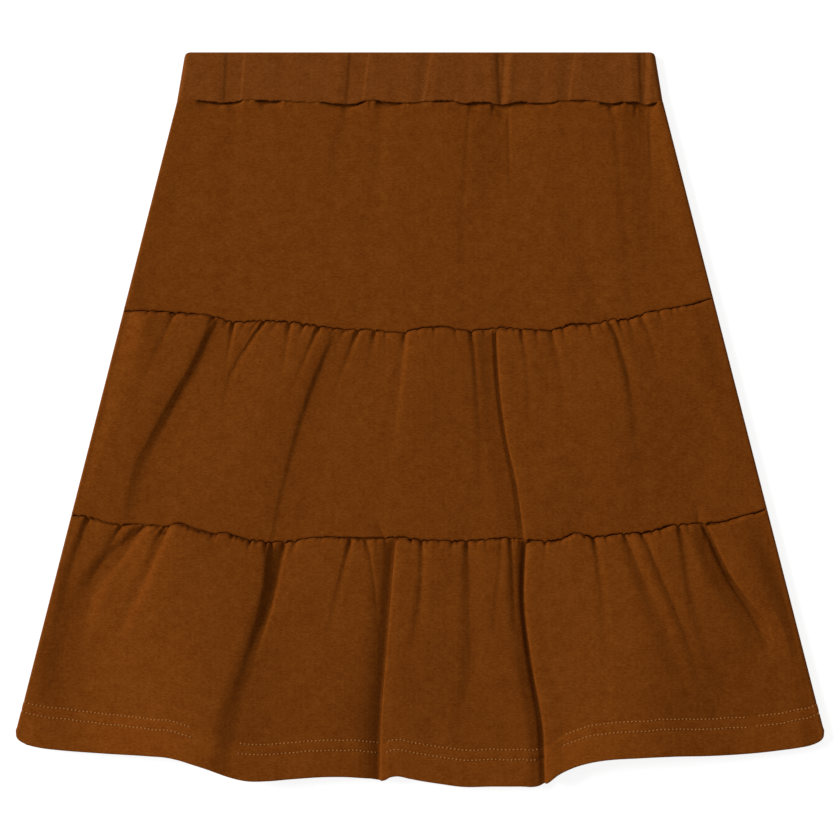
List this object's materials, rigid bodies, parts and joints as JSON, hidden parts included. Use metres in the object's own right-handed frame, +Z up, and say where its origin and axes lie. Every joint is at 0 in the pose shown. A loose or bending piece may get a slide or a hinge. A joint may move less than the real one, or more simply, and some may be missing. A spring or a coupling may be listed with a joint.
{
  "type": "tiered ruffle skirt",
  "caption": "Child's pull-on skirt laid flat, with an elastic waistband casing, a smooth top tier and gathered middle and bottom tiers with a turned hem.",
  "frame": {"origin": "middle of the laid skirt's outline, on the surface it lies on", "axes": "+Z up from the surface to the skirt's front, +Y from the hem to the waist, +X across to the right as the front is seen"},
  "size_m": [0.4528, 0.4115, 0.0088],
  "materials": {
    "waistband": "matt brown cotton jersey",
    "top_tier_front": "matt brown cotton jersey",
    "top_tier_back": "matt brown cotton jersey",
    "middle_tier_front": "matt brown cotton jersey",
    "middle_tier_back": "matt brown cotton jersey",
    "bottom_tier_front": "matt brown cotton jersey",
    "bottom_tier_back": "matt brown cotton jersey"
  },
  "bodies": {
    "root": {"waistband": "waistband", "top_tier_front": "top_tier_front", "top_tier_back": "top_tier_back", "middle_tier_front": "middle_tier_front", "middle_tier_back": "middle_tier_back", "bottom_tier_front": "bottom_tier_front", "bottom_tier_back": "bottom_tier_back"}
  },
  "joints": []
}
